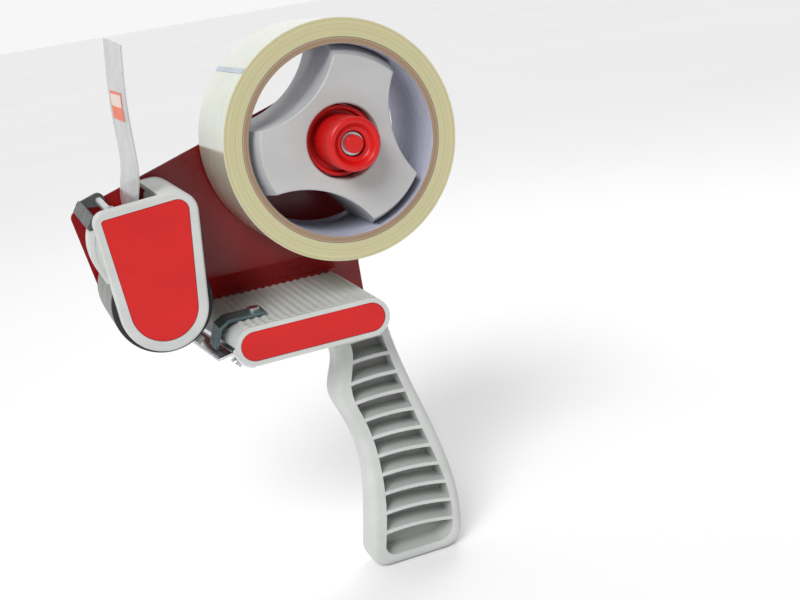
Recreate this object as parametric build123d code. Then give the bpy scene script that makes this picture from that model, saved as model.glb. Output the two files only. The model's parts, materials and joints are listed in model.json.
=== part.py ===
from build123d import *
import os
from math import atan2, cos, degrees, radians, sin, tan

# Pistol-grip dispenser for 50 mm carton tape, held in one hand. Millimetres, +Z up.
#
# Frame: the origin is the middle of the grip, where the palm closes round it. X runs along the
# head, with the roller and the cutter towards -X, and Y is the direction of every axle. The near,
# open side, where the tape roll slides off, faces -Y, and the steel side plate is on the +Y side.
#
# Outlines are drawn in side view and measured from the hub's axle: first number along X, second
# along Z. slab() and its relatives put them in place between two values of Y.

# Driving dimensions
AXLE_X, AXLE_Z = -6.5, 130.0    # the hub's axle, seen from the grip's middle
TAPE_WIDTH = 50.0
CORE_BORE = 76.2                # the usual 3 inch carton-tape core
CORE_WALL = 2.7
TAPE_OUTSIDE = 96.4
SHEET = 1.5                     # side plate's steel
HUB_DEPTH = 45.0
ROLLER_RADIUS = 19.6
HEAD_HEIGHT = 16.1
CUTTER_SLANT = 5.0              # degrees the cutter is turned in plan, so that it bites one corner first
THREAD_PITCH = 1.0              # of the brake knob
RIB_COUNT = 11                  # in the grip

# Stations along Y
ROLL_NEAR, ROLL_FAR = -TAPE_WIDTH / 2, TAPE_WIDTH / 2
PLATE_NEAR = 28.0
PLATE_FAR = PLATE_NEAR + SHEET
JOGGLE = 3.5                    # the plate's lower part stands this much further back
TAIL_NEAR, TAIL_FAR = PLATE_NEAR + JOGGLE, PLATE_FAR + JOGGLE
FRONT = -29.0                   # near face of the head and of the roller cover
COVER_BACK = -25.0
HUB_NEAR = ROLL_NEAR - 1.0
HUB_FAR = HUB_NEAR + HUB_DEPTH

# Places in side view
ROLLER = (-82.6, -47.4)
FLAP_PIVOT = (-93.8, -9.8)
HEAD_TOP, HEAD_BACK, HEAD_FRONT = -64.1, 6.0, -59.0
HEAD_MID = HEAD_TOP - HEAD_HEIGHT / 2
HEAD_BOTTOM = HEAD_TOP - HEAD_HEIGHT
CREASE_Z = -53.5                # where the plate starts to step back
GRIP_HALF = 8.0                 # half the grip's width along Y
HEAD_SCREWS = [(-46.0, HEAD_MID), (-23.0, HEAD_MID)]
HOUSING_SCREWS = [(-70.3, -13.2), (-82.0, -17.2)]


def slab(outline, near, far):
    """A side-view outline, filled from y = near to y = far."""
    return Pos(AXLE_X, far, AXLE_Z) * extrude(Plane.XZ * outline, amount=far - near)


def disc(radius, near, far, centre=(0, 0)):
    return slab(Pos(*centre) * Circle(radius), near, far)


def ring(outer, inner, near, far, centre=(0, 0)):
    return slab(Pos(*centre) * (Circle(outer) - Circle(inner)), near, far)


def hexagon(across_flats, bore, near, far, centre=(0, 0)):
    outline = RegularPolygon(across_flats / 2, 6, major_radius=False) - Circle(bore)
    return slab(Pos(*centre) * outline, near, far)


def slanted(outline, near, far):
    """Like slab(), but running parallel to the slanted cutter. The outline is where it is at FRONT."""
    run = tan(radians(CUTTER_SLANT))
    start = Pos(AXLE_X - run * (near - FRONT), near, AXLE_Z) * (Plane.XZ * outline)
    path = Vector(-run, 1, 0)
    return extrude(start, amount=(far - near) * path.length, dir=path.normalized())


def block(x, y, z):
    """A box between pairs of limits, with x and z measured from the axle."""
    middle = Pos(AXLE_X + sum(x) / 2, sum(y) / 2, AXLE_Z + sum(z) / 2)
    return middle * Box(x[1] - x[0], y[1] - y[0], z[1] - z[0])


def rounded(*corners):
    """The outline pulled tight round circles, each given as (x, z, radius)."""
    circles = [edge for x, z, radius in corners for edge in (Pos(x, z) * Circle(radius)).edges()]
    return make_hull(circles)


def stadium(left, right, middle, height):
    return Pos((left + right) / 2, middle) * SlotOverall(right - left, height)


def at_angle(radius, degrees):
    return radius * cos(radians(degrees)), radius * sin(radians(degrees))


def coil(mean_radius, wire, near, far, turns, centre=(0, 0)):
    """An open coil spring round an axle, between y = near and y = far."""
    height = far - near - wire
    path = Helix(height / turns, height, mean_radius)
    section = Plane(path @ 0, z_dir=path % 0) * Circle(wire / 2)
    spring = sweep(section, path)
    upright = Pos(AXLE_X + centre[0], near + wire / 2, AXLE_Z + centre[1])
    return upright * (Rot(-90, 0, 0) * spring)


# ---------------------------------------------------------------- side plate and axle

PLATE_CORNERS = [(-102.9, -16.0, 3.0), (0, 0, 17.8), (-91.5, -50.0, 9.0), (10.0, -60.0, 4.0)]
TAIL_LEFT, TAIL_RIGHT = -66.0, 14.0


def side_plate():
    """One steel sheet: nose, axle boss and roller bearing, with a tail stepped back behind the head."""
    outline = rounded(*PLATE_CORNERS)
    above = Pos(-45, CREASE_Z + 50) * Rectangle(150, 100)
    beside = Pos(TAIL_LEFT - 40, CREASE_Z) * Rectangle(80, 100)
    plate = slab(outline & (above + beside), PLATE_NEAR, PLATE_FAR)

    step_z, foot_z = CREASE_Z - 9.0, HEAD_BOTTOM + 1.5
    bend = Polyline(
        (PLATE_NEAR, CREASE_Z), (TAIL_NEAR, step_z), (TAIL_NEAR, foot_z),
        (TAIL_FAR, foot_z), (TAIL_FAR, step_z - 0.3), (PLATE_FAR, CREASE_Z), close=True)
    tail = extrude(Plane.YZ * make_face(bend), amount=TAIL_RIGHT - TAIL_LEFT)
    plate += Pos(AXLE_X + TAIL_LEFT, 0, AXLE_Z) * tail

    through = (PLATE_NEAR - 1, TAIL_FAR + 1)
    for place in ((0, 0), ROLLER):
        plate -= disc(AXLE_RADIUS + 0.05, *through, place)
    for place in HEAD_SCREWS + HOUSING_SCREWS:
        plate -= disc(2.1, *through, place)
    return plate - disc(PIN_RADIUS + 0.02, *through, FLAP_PIVOT)


NUT_THICK = 6.5
AXLE_RADIUS = 4.0
THREAD_RADIUS = 3.0             # the axle's near end, where the knob screws
AXLE_STEP = -15.0               # y where the axle narrows


def axle_bolt():
    head = slab(RegularPolygon(6.5, 6, major_radius=False), PLATE_FAR, PLATE_FAR + 5.3)
    shank = disc(AXLE_RADIUS, AXLE_STEP, PLATE_FAR)
    thread = disc(THREAD_RADIUS, CAP_NEAR + 1.5, AXLE_STEP)
    return chamfer((head + shank + thread).edges().sort_by(Axis.Y)[0], 0.5)


def axle_nut():
    return hexagon(13.0, AXLE_RADIUS + 0.02, PLATE_NEAR - NUT_THICK, PLATE_NEAR)


def hub_washer():
    return ring(8.0, AXLE_RADIUS + 0.1, HUB_FAR + 0.6, PLATE_NEAR - NUT_THICK)


# ---------------------------------------------------------------- hub

ARM_ANGLES = (64.6, 184.6, 304.6)
TIP_RADIUS = CORE_BORE / 2 - 0.3
LEAD_IN = 4.0                   # how much smaller the arms' tips are at the near face
LEAD_DEPTH = 10.0
WAIST, SCOOP = 21.0, 39.0       # narrowest radius between arms, and the radius of the scoop
CUP_RECESS = 15.0
HUB_FLOOR = -15.0               # y of the recess's floor
HUB_SKIN = 2.6


def hub_outline(shrink=0.0):
    outline = Circle(TIP_RADIUS - shrink)
    for angle in ARM_ANGLES:
        outline -= Pos(*at_angle(WAIST + SCOOP, angle + 60)) * Circle(SCOOP + shrink)
    return outline


def hub():
    """Three hollow arms round a sleeve, with a round pocket for the brake in the near face."""
    body = slab(hub_outline(), HUB_NEAR, HUB_FAR)
    lead = Solid.make_cone(TIP_RADIUS - LEAD_IN, TIP_RADIUS, LEAD_DEPTH)
    barrel = Pos(AXLE_X, HUB_NEAR, AXLE_Z) * (Rot(-90, 0, 0) * lead)
    barrel += disc(TIP_RADIUS, HUB_NEAR + LEAD_DEPTH, HUB_FAR)
    body &= barrel
    hollow = slab(hub_outline(HUB_SKIN), HUB_NEAR + LEAD_DEPTH, HUB_FAR)
    hollow += slab(hub_outline(HUB_SKIN + LEAD_IN), HUB_NEAR + HUB_SKIN, HUB_NEAR + LEAD_DEPTH)
    body -= hollow
    body += disc(CUP_RECESS + HUB_SKIN, HUB_NEAR, HUB_FLOOR + HUB_SKIN) + disc(8.0, HUB_FLOOR, HUB_FAR + 0.4)
    for angle in ARM_ANGLES:
        web = slab(Rot(0, 0, angle) * (Pos(20, 0) * Rectangle(26, 2.0)), HUB_NEAR + HUB_SKIN, HUB_FAR - 6)
        body += web - disc(7.0, HUB_NEAR, HUB_FAR)
    body -= disc(CUP_RECESS, HUB_NEAR - 1, HUB_FLOOR)
    body -= disc(AXLE_RADIUS + 0.08, HUB_NEAR, HUB_FAR + 1)
    near_edges = body.edges().filter_by(lambda e: abs(e.center().Y - HUB_NEAR) < 0.01)
    return fillet(near_edges, 0.8)


# ---------------------------------------------------------------- brake

CUP_RADIUS = 14.35
CUP_BACK = HUB_FLOOR - 0.9
CUP_FLOOR = CUP_BACK - 2.0
KNOB_RADIUS = 10.7
KNOB_BACK = CUP_FLOOR - 0.1
KNOB_NEAR = -41.0
SPRING_BORE = 4.9               # the hole in the knob that the spring works in
FOOT_BACK = -26.2
WASHER = 0.8
CAP_NEAR = KNOB_NEAR + 0.6
KEEPER_BACK = -36.2
SPRING_WIRE = 0.9


def brake_washer():
    return ring(14.6, AXLE_RADIUS + 0.1, CUP_BACK, HUB_FLOOR - 0.05)


def brake_cup():
    cup = ring(CUP_RADIUS, THREAD_RADIUS + 0.2, CUP_FLOOR, CUP_BACK)
    cup += ring(CUP_RADIUS, 12.5, CUP_FLOOR - 3.6, CUP_FLOOR)
    lip = cup.edges().sort_by(Axis.Y)[0:2]
    return fillet(lip, 0.7)


def knob_insert():
    """Brass nut moulded into the knob; it runs on the axle's thread."""
    return hexagon(11.0, THREAD_RADIUS + 0.05, FOOT_BACK, KNOB_BACK)


def brake_knob():
    knob = disc(KNOB_RADIUS, KNOB_NEAR, KNOB_BACK)
    knob = fillet(knob.edges().sort_by(Axis.Y)[0], 2.4)
    dish = Pos(AXLE_X, KNOB_NEAR, AXLE_Z) * (Rot(-90, 0, 0) * Solid.make_cone(7.4, 6.4, 1.6))
    knob -= dish + disc(SPRING_BORE, KNOB_NEAR, FOOT_BACK)
    socket = slab(RegularPolygon(5.5, 6, major_radius=False), FOOT_BACK, KNOB_BACK + 1)
    return knob - socket


def spring_foot():
    return ring(SPRING_BORE - 0.2, THREAD_RADIUS + 0.1, FOOT_BACK - WASHER, FOOT_BACK)


def spring_keeper():
    return ring(SPRING_BORE - 0.4, THREAD_RADIUS + 0.02, KEEPER_BACK - WASHER, KEEPER_BACK)


def brake_spring():
    return coil(4.1, SPRING_WIRE, KEEPER_BACK, FOOT_BACK - WASHER, 5.5)


def axle_cap():
    """Red cap nut on the axle's end; it holds the spring's keeper."""
    cap = disc(3.6, CAP_NEAR, KEEPER_BACK - WASHER) - disc(THREAD_RADIUS + 0.02, CAP_NEAR + 1.5, 0)
    return fillet(cap.edges().sort_by(Axis.Y)[0], 0.6)


# ---------------------------------------------------------------- tape roll

def tape_core():
    return ring(CORE_BORE / 2 + CORE_WALL, CORE_BORE / 2, ROLL_NEAR, ROLL_FAR)


def tape_winding():
    return ring(TAPE_OUTSIDE / 2, CORE_BORE / 2 + CORE_WALL, ROLL_NEAR, ROLL_FAR)


# ---------------------------------------------------------------- roller

SHAFT_RADIUS = 4.0
TYRE_NEAR, TYRE_WIDTH = COVER_BACK + 0.3, 2.0
ROLLER_FAR = 22.5


def roller_body():
    """Moulded tube on two webs, necked at each end for a tyre."""
    near, far = TYRE_NEAR, ROLLER_FAR
    tube = ring(ROLLER_RADIUS, 16.0, near + TYRE_WIDTH, far - TYRE_WIDTH, ROLLER)
    tube += ring(17.0, 16.0, near, far, ROLLER)
    for web in (near + 1.0, -1.5, far - 4.0):
        tube += ring(16.5, SHAFT_RADIUS + 3, web, web + 3.0, ROLLER)
    tube += ring(SHAFT_RADIUS + 3.5, SHAFT_RADIUS + 0.08, near, far + 1.0, ROLLER)
    return tube


def roller_tyres():
    ends = (TYRE_NEAR, ROLLER_FAR - TYRE_WIDTH)
    return Compound([ring(ROLLER_RADIUS - 0.1, 17.0, y, y + TYRE_WIDTH, ROLLER) for y in ends])


def roller_shaft():
    shaft = disc(SHAFT_RADIUS, COVER_BACK - 2.0, PLATE_FAR + 4.6, ROLLER)
    return chamfer(shaft.edges().sort_by(Axis.Y)[-1], 0.6)


def roller_spacer():
    return ring(6.5, SHAFT_RADIUS + 0.1, ROLLER_FAR + 1.3, PLATE_NEAR, ROLLER)


def shaft_nut():
    return hexagon(13.0, SHAFT_RADIUS + 0.02, PLATE_FAR, PLATE_FAR + 4.0, ROLLER)


# ---------------------------------------------------------------- roller housing and cover

COVER_CORNERS = [(-97.4, -12.0, 5.0), (-70.3, -13.2, 8.0), (-82.8, -48.4, 17.2)]
PANEL_CORNERS = [(-97.9, -11.6, 1.4), (-70.3, -12.6, 4.5), (-82.9, -48.3, 13.2)]
WALL = 2.0
ROOF_START = -76.0
WALL_FOOT = -31.0
PANEL_DEPTH = 1.2


def roller_cover():
    """Near cover: a raised rim round a pocket for the red panel, and a lip that closes the nose."""
    cover = slab(rounded(*COVER_CORNERS), FRONT, COVER_BACK)
    cover = fillet(cover.edges().filter_by(lambda e: abs(e.center().Y - FRONT) < 0.01), 1.0)
    cover -= slab(rounded(*PANEL_CORNERS), FRONT - 1, FRONT + PANEL_DEPTH)
    lip_line = Spline((-102.4, -14.6), (-104.0, -20.0), (-103.6, -27.0), (-100.9, -34.5))
    lip = trace(lip_line, 1.6)
    cover += slab(lip, COVER_BACK - 1.5, -9.0)
    cover -= disc(SHAFT_RADIUS + 0.02, COVER_BACK - 2.0, COVER_BACK + 1, ROLLER)
    cover -= disc(1.52, COVER_BACK - 2.0, COVER_BACK + 1, FLAP_PIVOT)
    for place in HOUSING_SCREWS:
        cover -= disc(1.7, FRONT, COVER_BACK + 1, place)
        cover -= disc(3.2, FRONT, FRONT + PANEL_DEPTH + 1.5, place)
    return cover


def cover_panel():
    inset = [(x, z, radius - 0.1) for x, z, radius in PANEL_CORNERS]
    panel = slab(rounded(*inset), FRONT + 0.2, FRONT + PANEL_DEPTH)
    return fillet(panel.edges().filter_by(lambda e: abs(e.center().Y - FRONT - 0.2) < 0.01), 0.3)


def roller_housing():
    """Roof and rear wall that carry the cover, with two long screw bosses."""
    inner = [(x, z, radius - WALL) for x, z, radius in COVER_CORNERS]
    shell = rounded(*COVER_CORNERS) - rounded(*inner)
    kept = Pos(ROOF_START + 20, WALL_FOOT + 20) * Rectangle(40, 40)
    housing = slab(shell & kept, COVER_BACK, PLATE_NEAR)
    corner = Pos(-66.6, -10.2) * Rectangle(7.6, 8.4)
    housing += slab(corner & rounded(*COVER_CORNERS), COVER_BACK, PLATE_NEAR)
    housing += disc(4.6, COVER_BACK, PLATE_NEAR, HOUSING_SCREWS[0])
    return housing - disc(1.6, COVER_BACK - 1, PLATE_NEAR + 1, HOUSING_SCREWS[0])


def cross_bar():
    """Tie between cover and plate, above the roller; the film is clamped against its front."""
    bar = block((-84.2, -79.6), (COVER_BACK, PLATE_NEAR), (-21.0, -13.4))
    bar = fillet(bar.edges().filter_by(Axis.Y), 0.8)
    bar -= disc(1.6, COVER_BACK - 1, PLATE_NEAR + 1, HOUSING_SCREWS[1])
    for y in CLAMP_SCREW_Y:
        bar -= along_x(1.3, (-90, -80.8), y)
    return bar


def screw(centre, head_near, head_far, head_radius, tip, radius):
    """A pan-head screw along Y, from its head to y = tip."""
    near, far = min(head_far, tip), max(head_near, tip)
    shank = disc(radius, near, far, centre)
    head = disc(head_radius, head_near, head_far, centre)
    recess = slab(Pos(*centre) * (Rectangle(0.9, 3.2) + Rectangle(3.2, 0.9)), head_near, head_far)
    outer = head_near if tip > head_near else head_far
    slot = recess & slab(Pos(*centre) * Circle(head_radius), outer - 1.0, outer + 1.0)
    return head + shank - slot


def cover_screws():
    seat = FRONT + PANEL_DEPTH + 1.5
    return Compound([screw(c, seat - 1.4, seat, 3.0, seat + 12, 1.5) for c in HOUSING_SCREWS])


def housing_screws():
    return Compound([screw(c, PLATE_FAR, PLATE_FAR + 2, 3.4, PLATE_NEAR - 12, 1.5) for c in HOUSING_SCREWS])


# ---------------------------------------------------------------- nose flap and film

FLAP_NEAR, FLAP_FAR = COVER_BACK + 0.3, PLATE_NEAR - 0.3
ARM_THICK = 2.2
PIN_RADIUS = 1.5


def nose_flap():
    """Sprung bar across the nose, on an arm at each end, that keeps the tape's end from slipping back."""
    bar = trace(Polyline((-100.9, -9.2), (-103.9, -13.2)), 1.5)
    flap = slab(bar, FLAP_NEAR, FLAP_FAR)
    arm = rounded((*FLAP_PIVOT, 2.8), (-101.6, -10.6, 1.2))
    for near in (FLAP_NEAR, FLAP_FAR - ARM_THICK):
        flap += slab(arm, near, near + ARM_THICK)
    return flap - disc(PIN_RADIUS + 0.06, FLAP_NEAR - 1, FLAP_FAR + 1, FLAP_PIVOT)


def flap_pin():
    return disc(PIN_RADIUS, COVER_BACK - 2.0, PLATE_FAR + 1.0, FLAP_PIVOT)


def flap_spring():
    near = FLAP_NEAR + ARM_THICK + 0.3
    return coil(2.2, 0.7, near, near + 7.0, 6, FLAP_PIVOT)


FILM_FOOT = (-84.45, -20.6)
FILM_LINE = [(-84.45, -13.0), (-81.9, 0.0), (-80.7, 14.0), (-80.4, 26.0), (-79.3, 39.0), (-77.4, 54.5)]
FILM_THICK = 0.5
FILM_TOP_NEAR, FILM_TOP_FAR = 51.4, 54.0
LABEL_Y, LABEL_Z = (-13.0, 19.0), (22.5, 33.5)
LABEL_THICK = 0.15


def film_sheet(thick, near, far, shift=0.0):
    """A strip along the film's bend: straight in the clamp, then curving up and back."""
    bend = Spline(*FILM_LINE, tangents=[(0, 1), (0.12, 1)])
    foot = Line(FILM_FOOT, FILM_LINE[0])
    return slab(Pos(shift, 0) * trace(foot + bend, thick), near, far)


def guide_film():
    """Flexible plastic sheet, as wide as the tape, that stands up out of the housing."""
    film = film_sheet(FILM_THICK, ROLL_NEAR + 0.5, ROLL_FAR + 0.5)
    middle = (FILM_TOP_NEAR + FILM_TOP_FAR) / 2
    slope = degrees(atan2(FILM_TOP_FAR - FILM_TOP_NEAR, TAPE_WIDTH))
    above = Rot(slope, 0, 0) * (Pos(0, 0, 10) * Box(30, 80, 20))
    film -= Pos(AXLE_X - 78, 0, AXLE_Z + middle) * above
    for y in CLAMP_SCREW_Y:
        film -= along_x(1.3, (-90, -80), y)
    return film


def film_label():
    skin = film_sheet(LABEL_THICK, *LABEL_Y, shift=-0.36)
    return skin & block((-95, -70), LABEL_Y, LABEL_Z)


def film_clamp():
    """Steel strip that grips the film's foot against the cross bar."""
    strip = block((-86.0, -84.8), (ROLL_NEAR + 1.5, ROLL_FAR - 0.5), (-20.6, -13.8))
    for y in CLAMP_SCREW_Y:
        strip -= along_x(1.3, (-90, -80), y)
    return strip


CLAMP_SCREW_Y = (-8.0, 9.0)
CLAMP_SCREW_Z = -15.2


def along_x(radius, x, y):
    """A round bar along X through the film's clamp."""
    bar = Rot(0, 90, 0) * Cylinder(radius, x[1] - x[0])
    return Pos(AXLE_X + sum(x) / 2, y, AXLE_Z + CLAMP_SCREW_Z) * bar


def clamp_screws():
    return Compound([along_x(2.3, (-87.4, -86.0), y) + along_x(1.25, (-87.0, -81.0), y) for y in CLAMP_SCREW_Y])


# ---------------------------------------------------------------- head and cutter

RIDGE_PITCH = 3.3
HEAD_WALL = 2.2
HEAD_PANEL_INSET = 1.9
NOSE_CENTRE = (HEAD_FRONT + HEAD_HEIGHT / 2, HEAD_MID)
SHEET_STEEL = 1.0


def head_block(inset, near, far):
    """The head's outer form, or one shrunk all round: a stadium whose front end follows the cutter."""
    run = tan(radians(CUTTER_SLANT))
    ends = []
    for y in (near, far):
        left = HEAD_FRONT - run * (y - FRONT) + inset
        outline = stadium(left, HEAD_BACK - inset, HEAD_MID, HEAD_HEIGHT - 2 * inset)
        ends.append(Pos(AXLE_X, y, AXLE_Z) * (Plane.XZ * outline))
    return loft(ends)


def head_shell():
    """Hollow head, open towards the plate, with ridges across its top for the tape to slide on."""
    head = head_block(0, FRONT, TAIL_NEAR)
    x = HEAD_FRONT + 6.0
    while x < HEAD_BACK - 4.0:
        ridge = Pos(x, HEAD_TOP - 0.9) * Circle(1.4)
        head += slab(ridge, FRONT + 2.4, TAIL_NEAR)
        x += RIDGE_PITCH
    head -= head_block(HEAD_WALL, FRONT + 3.4, TAIL_NEAR + 1)
    for place in HEAD_SCREWS:
        head += disc(4.2, FRONT + 3.0, TAIL_NEAR, place)
        head -= disc(1.95, FRONT + 8, TAIL_NEAR + 1, place)
    pocket = stadium(HEAD_FRONT + HEAD_PANEL_INSET, HEAD_BACK - HEAD_PANEL_INSET, HEAD_MID,
                     HEAD_HEIGHT - 2 * HEAD_PANEL_INSET)
    head -= slab(pocket, FRONT - 1, FRONT + PANEL_DEPTH)
    for x in GRIP_SCREW_X:
        head -= upright_bar(1.9, x, GRIP_SCREW_Y, (-82, -76))
    return head - rivet_bars(1.25)


def head_panel():
    inset = HEAD_PANEL_INSET + 0.1
    outline = stadium(HEAD_FRONT + inset, HEAD_BACK - inset, HEAD_MID, HEAD_HEIGHT - 2 * inset)
    panel = slab(outline, FRONT + 0.2, FRONT + PANEL_DEPTH)
    return fillet(panel.edges().filter_by(lambda e: abs(e.center().Y - FRONT - 0.2) < 0.01), 0.3)


def head_screws():
    return Compound([screw(c, TAIL_FAR, TAIL_FAR + 2.4, 3.6, TAIL_NEAR - 18, 1.9) for c in HEAD_SCREWS])


def blade_bracket():
    """Sheet steel wrapped round the lower front of the head, under the blade."""
    radius = HEAD_HEIGHT / 2
    band = Circle(radius + SHEET_STEEL) - Circle(radius)
    window = Rot(0, 0, 40) * (Pos(-20, 0) * Rectangle(40, 11.5))
    bracket = slanted(Pos(*NOSE_CENTRE) * (band & window), FRONT + 1.5, TAIL_NEAR)
    return bracket - rivet_bars(1.25)


RIVET_Y = (-22.0, 1.0, 24.0)
RIVET_ANGLE = 222.0


def rivet_bars(radius, start=4.0, stop=12.0):
    """Round bars through the head's lower front, square to its surface."""
    run = tan(radians(CUTTER_SLANT))
    bars = []
    for y in RIVET_Y:
        x, z = at_angle((start + stop) / 2, RIVET_ANGLE)
        x += NOSE_CENTRE[0] - run * (y - FRONT)
        place = Pos(AXLE_X + x, y, AXLE_Z + NOSE_CENTRE[1] + z)
        bars.append(place * (Rot(0, 90 - RIVET_ANGLE, 0) * Cylinder(radius, stop - start)))
    return Compound(bars)


def blade_rivets():
    outside = HEAD_HEIGHT / 2 + SHEET_STEEL
    shanks = rivet_bars(1.2, 5.0, outside + 0.8)
    heads = rivet_bars(2.4, outside + 0.22, outside + 1.2)
    return Compound([s + h for s, h in zip(shanks.solids(), heads.solids())])


BLADE_ROOT, BLADE_TIP = (-60.15, -73.4), (-66.4, -74.6)
TOOTH_PITCH, TOOTH_DEPTH = 2.5, 2.0


def blade():
    """Serrated strip that stands out in front of the head; one tooth every 2.5 mm."""
    strip = slanted(trace(Polyline(BLADE_ROOT, BLADE_TIP), SHEET_STEEL), FRONT + 2.0, TAIL_NEAR - 1.5)
    run = tan(radians(CUTTER_SLANT))
    y = FRONT + 2.0
    while y < TAIL_NEAR - 1.5:
        notch = make_face(Polyline((-1, -TOOTH_PITCH / 2), (-1, TOOTH_PITCH / 2), (TOOTH_DEPTH, 0), close=True))
        tip_x = AXLE_X + BLADE_TIP[0] - run * (y - FRONT)
        strip -= Pos(tip_x, y, AXLE_Z + BLADE_TIP[1] - 3) * extrude(notch, amount=6)
        y += TOOTH_PITCH
    return strip


STRAP_Y = (-17.0, -5.0)


def blade_strap():
    """Sprung steel strip screwed to the head's top, bent down over its front to press on the blade."""
    line = Polyline((-42.0, -62.7), (-57.5, -62.7), (-61.5, -64.9), (-64.6, -73.0))
    strap = slab(trace(line, 1.2), *STRAP_Y)
    return strap - upright_bar(1.65, -46.0, sum(STRAP_Y) / 2, (-66, -60))


def strap_screw():
    y = sum(STRAP_Y) / 2
    return upright_bar(2.8, -46.0, y, (-62.1, -60.6)) + upright_bar(1.6, -46.0, y, (-63.3, -61))


def guard_bar():
    """Flat bar across the front of the head that keeps fingers off the teeth."""
    flat = Pos(-66.2, -70.6) * (Rot(0, 0, 40) * Rectangle(3.4, 1.6))
    return slanted(flat, STRAP_Y[1], TAIL_NEAR)


# ---------------------------------------------------------------- grip

GRIP_FRONT = [(-20.5, -74.0), (-17.2, -81.0), (-13.7, -93.0), (-17.6, -108.0), (-13.8, -121.3),
              (-9.3, -142.0), (-10.2, -160.0), (-15.6, -192.8)]
GRIP_REAR = [(28.2, -192.8), (30.8, -170.0), (26.4, -142.0), (16.7, -108.0), (10.4, -74.0)]
CELL_FRONT = [(-10.6, -80.2), (-7.3, -95.0), (-10.1, -107.0), (-6.8, -122.0), (-3.3, -146.0),
              (-4.1, -165.0), (-8.7, -187.7)]
CELL_REAR = [(23.6, -187.7), (25.9, -168.0), (21.2, -143.7), (11.6, -106.8), (6.5, -80.2)]
RIB_PITCH, RIB_THICK = 8.98, 1.6
FIRST_RIB = -89.3               # where the first rib meets the front wall
RIB_DROP = 1.8                  # how much lower each rib ends at the rear wall
RIB_BEND = 100.0
BACK_WALL = 3.0
GRIP_SCREW_X, GRIP_SCREW_Y = (-12.0, -5.2), 1.8


def grip_outline(front, rear, toe, heel):
    """Finger side and palm side as smooth curves, joined by a flat foot with rounded corners."""
    foot, top = Line(front[-1], rear[0]), Line(rear[-1], front[0])
    face = make_face([Spline(*front), foot, Spline(*rear), top])
    face = fillet(face.vertices().sort_by(Axis.Y)[:2].sort_by(Axis.X)[0], toe)
    return fillet(face.vertices().sort_by(Axis.Y)[:3].sort_by(Axis.X)[-1], heel)


def upright_bar(radius, x, y, z):
    return Pos(AXLE_X + x, y, AXLE_Z + sum(z) / 2) * Cylinder(radius, z[1] - z[0])


def grip():
    """Pistol grip: a rounded moulding, hollowed from the near side, with thin bowed ribs across it."""
    body = slab(grip_outline(GRIP_FRONT, GRIP_REAR, 8.0, 10.0), -GRIP_HALF, GRIP_HALF)
    rim = body.edges().filter_by(lambda e: abs(abs(e.center().Y) - GRIP_HALF) < 0.01)
    body = fillet(rim, 3.6) - block((-40, 40), (-20, 20), (HEAD_BOTTOM, -60))
    cells = slab(grip_outline(CELL_FRONT, CELL_REAR, 4.5, 7.0), -GRIP_HALF - 1, GRIP_HALF - BACK_WALL)
    cells -= block((-40, 40), (-20, 20), (HEAD_BOTTOM - 2.4, -60))
    for number in range(RIB_COUNT):
        z = FIRST_RIB - RIB_PITCH * number
        bow = RadiusArc((-20, z + 0.5), (34, z - RIB_DROP), RIB_BEND)
        cells -= slab(trace(bow, RIB_THICK), -GRIP_HALF - 2, GRIP_HALF)
    for x in GRIP_SCREW_X:
        cells -= upright_bar(3.6, x, GRIP_SCREW_Y, (FIRST_RIB, HEAD_BOTTOM))
    body -= cells
    for x in GRIP_SCREW_X:
        body -= upright_bar(1.55, x, GRIP_SCREW_Y, (FIRST_RIB + 0.5, HEAD_BOTTOM))
    return body


def grip_screws():
    """Two screws from inside the head that hold the grip up against it."""
    floor = HEAD_BOTTOM + HEAD_WALL
    screws = []
    for x in GRIP_SCREW_X:
        bolt = upright_bar(3.2, x, GRIP_SCREW_Y, (floor, floor + 2.0))
        bolt += upright_bar(1.5, x, GRIP_SCREW_Y, (FIRST_RIB + 1.2, floor + 0.5))
        recess = Rectangle(0.9, 3.4) + Rectangle(3.4, 0.9)
        bolt -= Pos(AXLE_X + x, GRIP_SCREW_Y, AXLE_Z + floor + 1.0) * extrude(recess, amount=2)
        screws.append(bolt)
    return Compound(screws)


PARTS = {
    "side_plate": side_plate, "axle_bolt": axle_bolt, "axle_nut": axle_nut, "hub_washer": hub_washer,
    "hub": hub, "brake_washer": brake_washer, "brake_cup": brake_cup, "brake_knob": brake_knob,
    "knob_insert": knob_insert, "spring_foot": spring_foot, "brake_spring": brake_spring,
    "spring_keeper": spring_keeper, "axle_cap": axle_cap, "tape_core": tape_core,
    "tape_winding": tape_winding, "roller_body": roller_body, "roller_tyres": roller_tyres,
    "roller_shaft": roller_shaft, "roller_spacer": roller_spacer, "shaft_nut": shaft_nut,
    "roller_cover": roller_cover, "cover_panel": cover_panel, "roller_housing": roller_housing,
    "cross_bar": cross_bar, "cover_screws": cover_screws, "housing_screws": housing_screws,
    "nose_flap": nose_flap, "flap_pin": flap_pin, "flap_spring": flap_spring,
    "guide_film": guide_film, "film_label": film_label, "film_clamp": film_clamp,
    "clamp_screws": clamp_screws, "head_shell": head_shell, "head_panel": head_panel,
    "head_screws": head_screws, "blade_bracket": blade_bracket, "blade_rivets": blade_rivets,
    "blade": blade, "blade_strap": blade_strap, "strap_screw": strap_screw, "guard_bar": guard_bar,
    "grip": grip, "grip_screws": grip_screws,
}

os.makedirs("parts", exist_ok=True)
for name, make in PARTS.items():
    print(name)
    export_step(make(), f"parts/{name}.step")
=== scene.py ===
import json
import math

import bmesh
import bpy
from mathutils import Matrix, Vector


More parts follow.
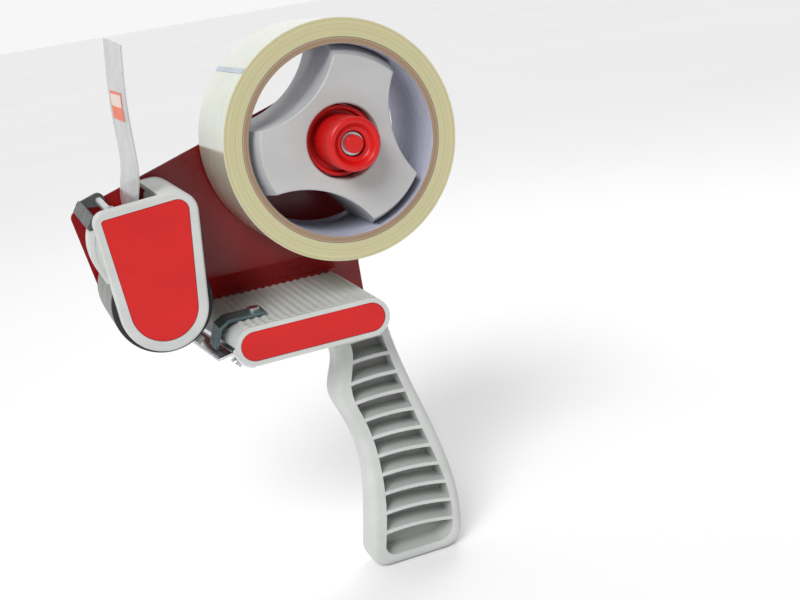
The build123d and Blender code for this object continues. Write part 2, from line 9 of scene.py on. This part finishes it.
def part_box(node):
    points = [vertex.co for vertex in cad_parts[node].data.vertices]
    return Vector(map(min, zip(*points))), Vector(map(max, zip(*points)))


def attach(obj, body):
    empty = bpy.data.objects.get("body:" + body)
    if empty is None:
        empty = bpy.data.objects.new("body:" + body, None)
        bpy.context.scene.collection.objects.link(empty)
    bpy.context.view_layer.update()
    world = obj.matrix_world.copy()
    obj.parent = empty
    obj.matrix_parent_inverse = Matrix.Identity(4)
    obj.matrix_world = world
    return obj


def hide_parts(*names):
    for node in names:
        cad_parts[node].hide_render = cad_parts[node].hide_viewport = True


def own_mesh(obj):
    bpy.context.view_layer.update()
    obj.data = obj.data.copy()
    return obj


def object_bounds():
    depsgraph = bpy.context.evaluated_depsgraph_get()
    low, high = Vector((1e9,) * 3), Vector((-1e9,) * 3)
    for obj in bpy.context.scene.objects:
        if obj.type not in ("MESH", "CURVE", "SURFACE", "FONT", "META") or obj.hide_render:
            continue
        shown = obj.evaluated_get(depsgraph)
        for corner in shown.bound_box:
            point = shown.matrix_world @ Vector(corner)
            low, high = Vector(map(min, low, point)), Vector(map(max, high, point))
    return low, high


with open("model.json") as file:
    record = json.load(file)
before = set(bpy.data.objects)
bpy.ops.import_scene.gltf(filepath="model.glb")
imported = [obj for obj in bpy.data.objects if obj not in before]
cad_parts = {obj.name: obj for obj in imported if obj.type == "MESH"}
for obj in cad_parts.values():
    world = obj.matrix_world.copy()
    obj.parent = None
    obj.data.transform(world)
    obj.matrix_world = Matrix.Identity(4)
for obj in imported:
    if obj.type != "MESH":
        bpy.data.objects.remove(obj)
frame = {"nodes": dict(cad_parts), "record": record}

# Looks of a hand-held packing tape dispenser: red-painted steel plate, grey and red mouldings,
# clear tape on a paper core. Metres throughout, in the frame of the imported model.

CAD_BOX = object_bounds()
JOINTS = {joint["name"]: joint for joint in frame["record"]["behaviour"]["joints"]}
AXLE = Vector(JOINTS["hub_spin"]["pos_m"])
ROLLER = Vector(JOINTS["roller_spin"]["pos_m"])
MM = 0.001
TAPE_RADIUS = 48.2 * MM
CORE_BORE_RADIUS = 38.1 * MM
SPRING_BORE_RADIUS = 4.9 * MM       # the hole in the knob that the brake spring works in


# ---------------------------------------------------------------- materials

def new_material(name, colour, rough, metal=0.0, **sockets):
    """A Principled material; every other socket is given by its name, with _ for a space."""
    material = bpy.data.materials.new(name)
    material.use_nodes = True
    shader = material.node_tree.nodes["Principled BSDF"]
    shader.inputs["Base Color"].default_value = (*colour, 1.0)
    shader.inputs["Roughness"].default_value = rough
    shader.inputs["Metallic"].default_value = metal
    for socket, value in sockets.items():
        shader.inputs[socket.replace("_", " ")].default_value = value
    return material


def add(material, kind, **values):
    node = material.node_tree.nodes.new("ShaderNode" + kind)
    for key, value in values.items():
        if key in node.inputs:
            node.inputs[key].default_value = value
        else:
            setattr(node, key, value)
    return node


def wire(material, source, target):
    material.node_tree.links.new(source, target)


def principled(material):
    return material.node_tree.nodes["Principled BSDF"]


def where(material, stretch=(1.0, 1.0, 1.0), centre=(0.0, 0.0, 0.0)):
    """Object coordinates, moved to centre and stretched along each axis."""
    place = add(material, "TexCoord").outputs["Object"]
    mapping = add(material, "Mapping")
    mapping.inputs["Scale"].default_value = stretch
    mapping.inputs["Location"].default_value = [-c * s for c, s in zip(centre, stretch)]
    wire(material, place, mapping.inputs["Vector"])
    return mapping.outputs["Vector"]


def noise(material, scale, stretch=(1.0, 1.0, 1.0), detail=4.0):
    texture = add(material, "TexNoise", Scale=scale, Detail=detail)
    wire(material, where(material, stretch), texture.inputs["Vector"])
    return texture.outputs["Fac"]


def spread(material, factor, low, high, start=0.35, stop=0.65):
    """A factor stretched to run from low to high."""
    ramp = add(material, "MapRange")
    ramp.inputs["From Min"].default_value = start
    ramp.inputs["From Max"].default_value = stop
    ramp.inputs["To Min"].default_value = low
    ramp.inputs["To Max"].default_value = high
    wire(material, factor, ramp.inputs["Value"])
    return ramp.outputs["Result"]


def mixed(material, factor, first, second):
    """Two colours, each a tuple or a socket, mixed by a factor."""
    mix = add(material, "Mix", data_type="RGBA")
    wire(material, factor, mix.inputs[0])
    for socket, colour in ((mix.inputs[6], first), (mix.inputs[7], second)):
        if isinstance(colour, tuple):
            socket.default_value = (*colour, 1.0)
        else:
            wire(material, colour, socket)
    return mix.outputs[2]


def bump(material, height, depth, strength=1.0):
    """Relief from a height; a second call adds to the first."""
    node = add(material, "Bump", Strength=strength, Distance=depth)
    wire(material, height, node.inputs["Height"])
    target = principled(material).inputs["Normal"]
    if target.links:
        wire(material, target.links[0].from_socket, node.inputs["Normal"])
    wire(material, node.outputs["Normal"], target)


def vary(material, first, second, scale, stretch=(1.0, 1.0, 1.0)):
    """Cloudy change of base colour between two close colours."""
    factor = spread(material, noise(material, scale, stretch), 0.0, 1.0)
    wire(material, mixed(material, factor, first, second), principled(material).inputs["Base Color"])


def vary_gloss(material, low, high, scale, stretch=(1.0, 1.0, 1.0)):
    wire(material, spread(material, noise(material, scale, stretch), low, high),
         principled(material).inputs["Roughness"])


def shade(colour, factor):
    return tuple(channel * factor for channel in colour)


def moulded(name, colour, rough, grain=0.00003, coat=0.0):
    """Moulded plastic: a fine spark-eroded grain, faint flow marks and slightly uneven gloss."""
    material = new_material(name, colour, rough, Coat_Weight=coat, Coat_Roughness=0.25,
                            Specular_IOR_Level=0.35)
    vary(material, shade(colour, 0.95), shade(colour, 1.04), 38.0, (1.0, 1.0, 2.2))
    vary_gloss(material, rough - 0.06, rough + 0.07, 90.0)
    bump(material, noise(material, 2600.0, detail=2.0), grain, 0.6)
    bump(material, noise(material, 60.0), 0.00012, 0.25)
    return material


def painted(name, colour):
    """Baked gloss paint over sheet steel, with orange peel and hairline scratches."""
    material = new_material(name, colour, 0.3, Coat_Weight=0.25, Coat_Roughness=0.06,
                            Specular_IOR_Level=0.3)
    vary(material, shade(colour, 0.86), shade(colour, 1.1), 22.0)
    vary_gloss(material, 0.18, 0.36, 55.0)
    bump(material, noise(material, 420.0, detail=1.0), 0.00006, 0.35)
    bump(material, noise(material, 300.0, (1.0, 1.0, 14.0)), 0.00002, 0.4)
    return material


def metal(name, colour, rough, along="y"):
    """Plated or bright steel, brushed along one axis."""
    stretch = {"x": (1.0, 26.0, 26.0), "y": (26.0, 1.0, 26.0), "z": (26.0, 26.0, 1.0)}[along]
    material = new_material(name, colour, rough, 1.0)
    vary(material, shade(colour, 0.86), shade(colour, 1.08), 120.0, stretch)
    vary_gloss(material, rough * 0.75, rough * 1.35, 60.0)
    bump(material, noise(material, 160.0, stretch), 0.00003, 0.35)
    return material


def blued_steel():
    """Blued spring steel, dull enough to stay dark teal beside the red plate."""
    material = new_material("spring_steel", (0.09, 0.14, 0.145), 0.4, 0.35)
    vary(material, (0.07, 0.12, 0.125), (0.13, 0.19, 0.19), 90.0, (1.0, 9.0, 9.0))
    vary_gloss(material, 0.3, 0.5, 60.0)
    bump(material, noise(material, 180.0, (1.0, 20.0, 20.0)), 0.00003, 0.4)
    return material


def radius_from(material, centre):
    """Distance from an axle that runs along Y through centre."""
    split = add(material, "SeparateXYZ")
    wire(material, where(material, centre=tuple(centre)), split.inputs[0])
    flat = add(material, "CombineXYZ")
    wire(material, split.outputs["X"], flat.inputs["X"])
    wire(material, split.outputs["Z"], flat.inputs["Z"])
    length = add(material, "VectorMath", operation="LENGTH")
    wire(material, flat.outputs[0], length.inputs[0])
    return length.outputs["Value"], split.outputs["Y"]


def rings(material, radius, pitch, detail=6.0):
    """Thin concentric rings of uneven tone."""
    texture = add(material, "TexNoise", Scale=1.0 / pitch, Detail=detail, noise_dimensions="1D")
    wire(material, radius, texture.inputs["W"])
    return texture.outputs["Fac"]


def on_sides(material):
    """1 on faces square to the axle, 0 on faces round it."""
    split = add(material, "SeparateXYZ")
    wire(material, add(material, "NewGeometry").outputs["True Normal"], split.inputs[0])
    size = add(material, "Math", operation="ABSOLUTE")
    wire(material, split.outputs["Y"], size.inputs[0])
    return spread(material, size.outputs[0], 0.0, 1.0, 0.6, 0.8)


def clear_tape():
    """Wound clear tape: yellow-beige, ringed edges and a glossy, pale greenish outside."""
    material = new_material("wound_tape", (0.6, 0.62, 0.5), 0.3, Coat_Weight=0.5, Coat_Roughness=0.12,
                            Subsurface_Weight=0.15, Subsurface_Scale=0.004)
    radius, _ = radius_from(material, AXLE)
    layer = rings(material, radius, 0.0009)
    edge = mixed(material, spread(material, layer, 0.0, 1.0), (0.49, 0.455, 0.25), (0.56, 0.53, 0.31))
    cloud = spread(material, noise(material, 28.0, (1.0, 0.3, 1.0)), 0.0, 1.0)
    outside = mixed(material, cloud, (0.50, 0.53, 0.42), (0.58, 0.62, 0.50))
    streak = spread(material, noise(material, 90.0, (1.0, 9.0, 1.0)), 0.0, 0.35)
    outside = mixed(material, streak, outside, (0.78, 0.80, 0.72))
    wire(material, mixed(material, on_sides(material), outside, edge),
         principled(material).inputs["Base Color"])
    wire(material, spread(material, on_sides(material), 0.16, 0.5, 0.0, 1.0),
         principled(material).inputs["Roughness"])
    bump(material, layer, 0.00008, 0.5)
    bump(material, noise(material, 34.0, (1.0, 0.35, 1.0)), 0.0006, 0.22)
    return material


def paper():
    """Spiral-wound cardboard: tan layered edges and a smooth lavender-grey liner."""
    material = new_material("paper_core", (0.42, 0.36, 0.28), 0.85)
    radius, along = radius_from(material, AXLE)
    ply = rings(material, radius, 0.0005)
    edge = mixed(material, spread(material, ply, 0.0, 1.0), (0.20, 0.13, 0.08), (0.42, 0.30, 0.20))
    fibre = spread(material, noise(material, 160.0, (1.0, 4.0, 1.0)), 0.0, 1.0)
    liner = mixed(material, fibre, (0.44, 0.45, 0.57), (0.54, 0.55, 0.66))
    wire(material, mixed(material, on_sides(material), liner, edge),
         principled(material).inputs["Base Color"])
    bump(material, ply, 0.0002, 0.6)
    bump(material, noise(material, 700.0, (1.0, 5.0, 1.0)), 0.00004, 0.5)
    return material


def clear_film():
    """Stiff translucent sheet, slightly hazy, with fine draw lines up its length."""
    material = new_material("clear_film", (0.74, 0.75, 0.75), 0.22, Alpha=0.72, Coat_Weight=0.4)
    vary(material, (0.42, 0.43, 0.44), (0.52, 0.53, 0.53), 40.0, (1.0, 3.0, 0.5))
    vary_gloss(material, 0.14, 0.34, 60.0)
    bump(material, noise(material, 200.0, (1.0, 8.0, 0.4)), 0.00005, 0.5)
    return material


def both(material, first, second):
    """1 where both factors are 1."""
    product = add(material, "Math", operation="MULTIPLY")
    wire(material, first, product.inputs[0])
    wire(material, second, product.inputs[1])
    return product.outputs[0]


def compared(material, value, test, limit):
    gate = add(material, "Math", operation=test)
    wire(material, value, gate.inputs[0])
    gate.inputs[1].default_value = limit
    return gate.outputs[0]


def printed_label(low, high):
    """Generic printed sticker: an orange block below, a pale field in an orange frame above."""
    orange, pale = (0.78, 0.13, 0.04), (0.72, 0.60, 0.52)
    material = new_material("printed_label", orange, 0.45)
    middle, size = (low + high) / 2, high - low
    split = add(material, "SeparateXYZ")
    wire(material, where(material, (1.0, 2 / size.y, 2 / size.z), tuple(middle)), split.inputs[0])
    across = add(material, "Math", operation="ABSOLUTE")
    wire(material, split.outputs["Y"], across.inputs[0])
    field = both(material, compared(material, split.outputs["Z"], "GREATER_THAN", -0.05),
                 compared(material, split.outputs["Z"], "LESS_THAN", 0.82))
    field = both(material, field, compared(material, across.outputs[0], "LESS_THAN", 0.9))
    ink = mixed(material, spread(material, noise(material, 900.0), 0.0, 1.0), shade(orange, 0.9), orange)
    wire(material, mixed(material, field, ink, pale), principled(material).inputs["Base Color"])
    bump(material, noise(material, 1200.0), 0.00002, 0.5)
    return material


RED, GREY = (0.60, 0.006, 0.006), (0.56, 0.575, 0.56)
LOOKS = {
    "paint": painted("gloss_red_paint", (0.27, 0.002, 0.004)),
    "red": moulded("red_moulding", RED, 0.36, coat=0.1),
    "grey": moulded("grey_moulding", GREY, 0.46),
    "hub": moulded("hub_moulding", (0.47, 0.475, 0.475), 0.42),
    "roller": moulded("roller_moulding", (0.17, 0.175, 0.165), 0.38),
    # Near-black colour for the nose flap is painted shade: a grey web at the housing's top-left corner that
    # sits in shadow.
    "dark": moulded("painted_shade_moulding", (0.075, 0.08, 0.08), 0.5),
    "rubber": moulded("black_rubber", (0.012, 0.012, 0.013), 0.6, grain=0.00006),
    "steel": metal("zinc_plate", (0.62, 0.63, 0.65), 0.3),
    "blade": metal("ground_blade", (0.70, 0.72, 0.74), 0.2, "x"),
    "spring": blued_steel(),
    "brass": metal("brass_insert", (0.72, 0.52, 0.22), 0.28),
    "tape": clear_tape(),
    "tape_end": moulded("tape_end_tab", (0.30, 0.40, 0.50), 0.25, coat=0.6),
    "paper": paper(),
    "film": clear_film(),
    "label": printed_label(*map(Vector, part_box("film_label"))),
}
FINISH = {
    "paint": ["side_plate"],
    "red": ["cover_panel", "head_panel"],
    "grey": ["roller_cover", "roller_housing", "cross_bar", "head_shell", "grip", "guard_bar",
             "roller_spacer"],
    "hub": ["hub"],
    "dark": ["nose_flap"],
    "steel": ["axle_bolt", "axle_nut", "hub_washer", "brake_washer", "spring_foot",
              "spring_keeper", "roller_shaft", "shaft_nut", "cover_screws", "housing_screws", "flap_pin",
              "film_clamp", "clamp_screws", "head_screws", "grip_screws", "blade_rivets", "strap_screw",
              "flap_spring"],
    "blade": ["blade", "blade_bracket"],
    "spring": ["blade_strap"],
    "brass": ["knob_insert"],
    "label": ["film_label"],
}


def paint_nodes():
    """Gives each CAD node that stays its material."""
    for look, nodes in FINISH.items():
        for node in nodes:
            slots = frame["nodes"][node].data.materials
            slots.clear()
            slots.append(LOOKS[look])


# ---------------------------------------------------------------- turned pieces

def rounded(points, radius, steps=5):
    """A closed outline of (radius, y) points with every corner rounded."""
    line = []
    for index, corner in enumerate(points):
        here = Vector(corner)
        before = Vector(points[index - 1]) - here
        after = Vector(points[(index + 1) % len(points)]) - here
        cut = min(radius, before.length * 0.45, after.length * 0.45)
        start, stop = here + before.normalized() * cut, here + after.normalized() * cut
        for step in range(steps + 1):
            t = step / steps
            line.append(start * (1 - t) ** 2 + here * 2 * t * (1 - t) + stop * t ** 2)
    return line


def finish_piece(name, work, look, body, nodes, sharp=40.0):
    """Turns mesh work into a piece that rides on a body and stands for CAD nodes."""
    bmesh.ops.recalc_face_normals(work, faces=work.faces)
    mesh = bpy.data.meshes.new(name)
    work.to_mesh(mesh)
    work.free()
    mesh.shade_smooth()
    mesh.set_sharp_from_angle(angle=math.radians(sharp))
    mesh.materials.append(LOOKS[look])
    piece = bpy.data.objects.new(name, mesh)
    bpy.context.scene.collection.objects.link(piece)
    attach(piece, body)
    if nodes:
        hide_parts(*nodes)
    return piece


def turn(work, outline, centre, segments=192):
    """Adds an outline of (radius, y) points, turned round an axle along Y, to mesh work."""
    loops = []
    for number in range(segments):
        angle = 2 * math.pi * number / segments
        side = Vector((math.cos(angle), 0.0, math.sin(angle)))
        loops.append([work.verts.new(Vector((centre.x, y, centre.z)) + side * r) for r, y in outline])
    count = len(outline)
    for number, loop in enumerate(loops):
        following = loops[(number + 1) % segments]
        for index in range(count):
            other = (index + 1) % count
            work.faces.new((loop[index], loop[other], following[other], following[index]))


def size_of(node):
    """(outer radius, nearest y, furthest y) of a round node."""
    low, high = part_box(node)
    return (high[2] - low[2]) / 2, low[1], high[1]


def tape_roll():
    """The wound tape, with slightly uneven turns showing on both edges."""
    _, near, far = size_of("tape_winding")
    outer, inner = TAPE_RADIUS, size_of("tape_core")[0]
    turns, uneven, eased = 26, 0.05 * MM, 0.3 * MM
    outline = [(inner, near), (inner, far)]
    for step in range(1, turns):
        r = inner + (outer - inner) * step / turns
        outline.append((r, far - uneven * (1 + math.sin(step * 2.3))))
    outline += [(outer, far - eased), (outer, near + eased)]
    for step in range(turns - 1, 0, -1):
        r = inner + (outer - inner) * step / turns
        outline.append((r, near + uneven * (1 + math.sin(step * 1.7))))
    work = bmesh.new()
    turn(work, outline, AXLE, 240)
    finish_piece("tape_roll", work, "tape", "roll", ["tape_winding"])


def tape_end():
    """The free end of the tape, a bluish strip across the roll's outside."""
    _, near, far = size_of("tape_winding")
    work = bmesh.new()
    start, sweep, steps = math.radians(134.0), math.radians(2.6), 6
    lift, inset = (0.05 * MM, 0.22 * MM), 0.2 * MM
    rows = []
    for step in range(steps + 1):
        angle = start + sweep * step / steps
        side = Vector((math.cos(angle), 0.0, math.sin(angle)))
        row = []
        for radius in (TAPE_RADIUS + lift[0], TAPE_RADIUS + lift[1]):
            for y in (near + inset, far - inset):
                row.append(work.verts.new(Vector((AXLE.x, y, AXLE.z)) + side * radius))
        rows.append(row)
    for row, other in zip(rows, rows[1:]):
        for a, b in ((0, 1), (1, 3), (3, 2), (2, 0)):
            work.faces.new((row[a], row[b], other[b], other[a]))
    for row in (rows[0], rows[-1]):
        work.faces.new((row[0], row[1], row[3], row[2]))
    finish_piece("tape_end", work, "tape_end", "roll", [], 60.0)


def paper_core():
    """Cardboard tube with eased edges."""
    outer, near, far = size_of("tape_core")
    inner = CORE_BORE_RADIUS
    work = bmesh.new()
    turn(work, rounded([(inner, near), (inner, far), (outer, far), (outer, near)], 0.35 * MM), AXLE, 224)
    finish_piece("paper_core", work, "paper", "roll", ["tape_core"])


def knob():
    """Brake knob: rounded rim, grip flutes, and a dished face round the spring's hole."""
    outer, near, far = size_of("brake_knob")
    hole = SPRING_BORE_RADIUS
    outline = rounded([(hole, far), (outer, far), (outer, near + 0.9 * MM), (outer - 1.0 * MM, near),
                       (8.4 * MM, near), (6.6 * MM, near + 2.4 * MM), (hole, near + 2.6 * MM)], 0.8 * MM, 7)
    work = bmesh.new()
    turn(work, outline, AXLE, 216)
    flutes, depth = 36, 0.16 * MM
    for vertex in work.verts:
        offset = vertex.co - AXLE
        angle = math.atan2(offset.z, offset.x)
        radius = math.hypot(offset.x, offset.z)
        if radius > outer - 0.4 * MM and vertex.co.y > near + 2.2 * MM:
            dip = depth * (0.5 + 0.5 * math.cos(flutes * angle))
            vertex.co.x -= math.cos(angle) * dip
            vertex.co.z -= math.sin(angle) * dip
    finish_piece("knob", work, "red", "knob", ["brake_knob"], 50.0)


def turned(name, node, body, look, points, rounding):
    """A round piece from an outline of (radius, y) points in millimetres."""
    work = bmesh.new()
    outline = rounded([(r * MM, y * MM) for r, y in points], rounding * MM)
    turn(work, outline, AXLE if body != "roller" else ROLLER, 192)
    return finish_piece(name, work, look, body, [node] if node else [], 45.0)


def brake_pieces():
    """Cup that presses on the hub, and the cap on the axle's end."""
    _, near, far = size_of("brake_cup")
    near, far = near / MM, far / MM
    turned("cup", "brake_cup", "frame", "red",
           [(3.2, far), (14.35, far), (14.35, near), (12.5, near), (12.5, near + 3.6),
            (3.2, near + 3.6)], 0.6)
    _, near, far = size_of("axle_cap")
    near, far = near / MM, far / MM
    turned("cap", "axle_cap", "frame", "red",
           [(0.02, near), (3.6, near), (3.6, far), (3.02, far), (3.02, near + 1.5), (0.02, near + 1.5)], 0.45)


def roller():
    """Roller tube with a neck at each end, and the two black tyres that sit on the necks."""
    _, near, far = size_of("roller_tyres")
    near, far, tyre = near / MM, far / MM, 2.0
    turned("roller_tube", None, "roller", "roller",
           [(16.0, near), (17.0, near), (17.0, near + tyre), (19.6, near + tyre), (19.6, far - tyre),
            (17.0, far - tyre), (17.0, far), (16.0, far)], 0.25)
    for side, y in (("near", near), ("far", far - tyre)):
        turned(f"tyre_{side}", None, "roller", "rubber",
               [(17.02, y + 0.02), (19.5, y + 0.02), (19.5, y + tyre - 0.02), (17.02, y + tyre - 0.02)], 0.5)


def nose_cheek():
    """Pale cheek of the cover's moulding, between its rim and the nose."""
    low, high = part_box("roller_cover")
    line = [(0.9, 0.0), (0.3, -4.6), (0.7, -9.5), (2.7, -17.5), (5.6, -21.0), (5.6, 0.0)]
    near, far, top = low.y + 2.8 * MM, low.y + 13.0 * MM, high.z - 8.6 * MM
    work = bmesh.new()
    ends = []
    for y in (near, far):
        ends.append([work.verts.new((low.x + x * MM, y, top + z * MM)) for x, z in line])
    work.faces.new(ends[0])
    work.faces.new(ends[1])
    for index in range(len(line)):
        other = (index + 1) % len(line)
        work.faces.new((ends[0][index], ends[0][other], ends[1][other], ends[1][index]))
    bmesh.ops.bevel(work, geom=list(work.edges), offset=0.4 * MM, segments=3, affect="EDGES")
    finish_piece("nose_cheek", work, "grey", "frame", [])


def coil_spring():
    """The brake spring (on the real thing it shortens towards its keeper as the knob is screwed in); here a
    fixed copy of its CAD mesh.
    """
    work = bmesh.new()
    work.from_mesh(frame["nodes"]["brake_spring"].data)
    bmesh.ops.remove_doubles(work, verts=work.verts, dist=1e-6)
    piece = finish_piece("coil_spring", work, "steel", "frame", ["brake_spring"])
    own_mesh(piece)


def film():
    """The guide film, shaded smoothly along its bend."""
    work = bmesh.new()
    work.from_mesh(frame["nodes"]["guide_film"].data)
    bmesh.ops.remove_doubles(work, verts=work.verts, dist=1e-6)
    finish_piece("film_sheet", work, "film", "frame", ["guide_film"], 30.0)


# ---------------------------------------------------------------- studio

CAMERA_PLACE = Vector((-0.1466, -0.5043, 0.1937))
CAMERA_RIGHT = Vector((0.92724, -0.33919, -0.15869))
CAMERA_DOWN = Vector((-0.23278, -0.19014, -0.95376))
CAMERA_FORWARD = Vector((0.29333, 0.92130, -0.25526))
LENS, SENSOR = 56.58, 36.0
KEY_FROM, KEY_POWER, KEY_SPREAD = Vector((-0.45, -0.65, 0.62)), 1.9, math.radians(24.0)
SOFTBOXES = [("softbox", (-0.7, -0.5, 0.9), 0.35, 2.2), ("rim", (0.4, 0.5, 0.7), 0.4, 1.6)]
FLOOR_HALF, FLOOR_DROP = 14.0, 0.0002
BACKDROP, ROOM = 0.93, 0.30       # brightness of the studio behind the object, and behind the camera


def studio():
    scene = bpy.context.scene
    scene.view_settings.view_transform = "Standard"
    camera = bpy.data.objects.new("camera", bpy.data.cameras.new("camera"))
    camera.data.lens, camera.data.sensor_width = LENS, SENSOR
    camera.data.clip_start = 0.01
    turn_to = Matrix((CAMERA_RIGHT, -CAMERA_DOWN, -CAMERA_FORWARD)).transposed()
    camera.matrix_world = Matrix.Translation(CAMERA_PLACE) @ turn_to.to_4x4()
    scene.collection.objects.link(camera)
    scene.camera = camera

    world = bpy.data.worlds.new("studio")
    world.use_nodes = True
    nodes, links = world.node_tree.nodes, world.node_tree.links
    kinds = ("SeparateXYZ", "MapRange", "CombineXYZ")
    split, ramp, grey = (nodes.new("ShaderNode" + kind) for kind in kinds)
    links.new(nodes.new("ShaderNodeTexCoord").outputs["Generated"], split.inputs[0])
    links.new(split.outputs["Y"], ramp.inputs["Value"])
    for socket, value in zip(("From Min", "From Max", "To Min", "To Max"), (-0.3, 0.6, ROOM, BACKDROP)):
        ramp.inputs[socket].default_value = value
    for socket in grey.inputs:
        links.new(ramp.outputs["Result"], socket)
    links.new(grey.outputs[0], nodes["Background"].inputs["Color"])
    nodes["Background"].inputs["Strength"].default_value = 1.0
    scene.world = world

    middle = (Vector(CAD_BOX[0]) + Vector(CAD_BOX[1])) / 2
    sun = bpy.data.objects.new("key", bpy.data.lights.new("key", "SUN"))
    sun.data.energy, sun.data.angle = KEY_POWER, KEY_SPREAD
    sun.rotation_euler = (-KEY_FROM).to_track_quat("-Z", "Y").to_euler()
    scene.collection.objects.link(sun)
    for name, place, size, power in SOFTBOXES:
        light = bpy.data.lights.new(name, "AREA")
        light.size, light.energy = size, power
        lamp = bpy.data.objects.new(name, light)
        lamp.location = middle + Vector(place)
        lamp.rotation_euler = (-Vector(place)).to_track_quat("-Z", "Y").to_euler()
        scene.collection.objects.link(lamp)

    work = bmesh.new()
    bmesh.ops.create_grid(work, x_segments=8, y_segments=8, size=FLOOR_HALF)
    mesh = bpy.data.meshes.new("floor")
    work.to_mesh(mesh)
    work.free()
    floor = bpy.data.objects.new("floor", mesh)
    floor.location.z = CAD_BOX[0][2] - FLOOR_DROP
    pale = new_material("pale_floor", (0.9, 0.9, 0.9), 0.9)
    vary(pale, (0.89, 0.89, 0.89), (0.91, 0.91, 0.91), 2.0)
    mesh.materials.append(pale)
    scene.collection.objects.link(floor)


studio()
paint_nodes()
tape_roll()
tape_end()
paper_core()
knob()
brake_pieces()
roller()
nose_cheek()
coil_spring()
film()
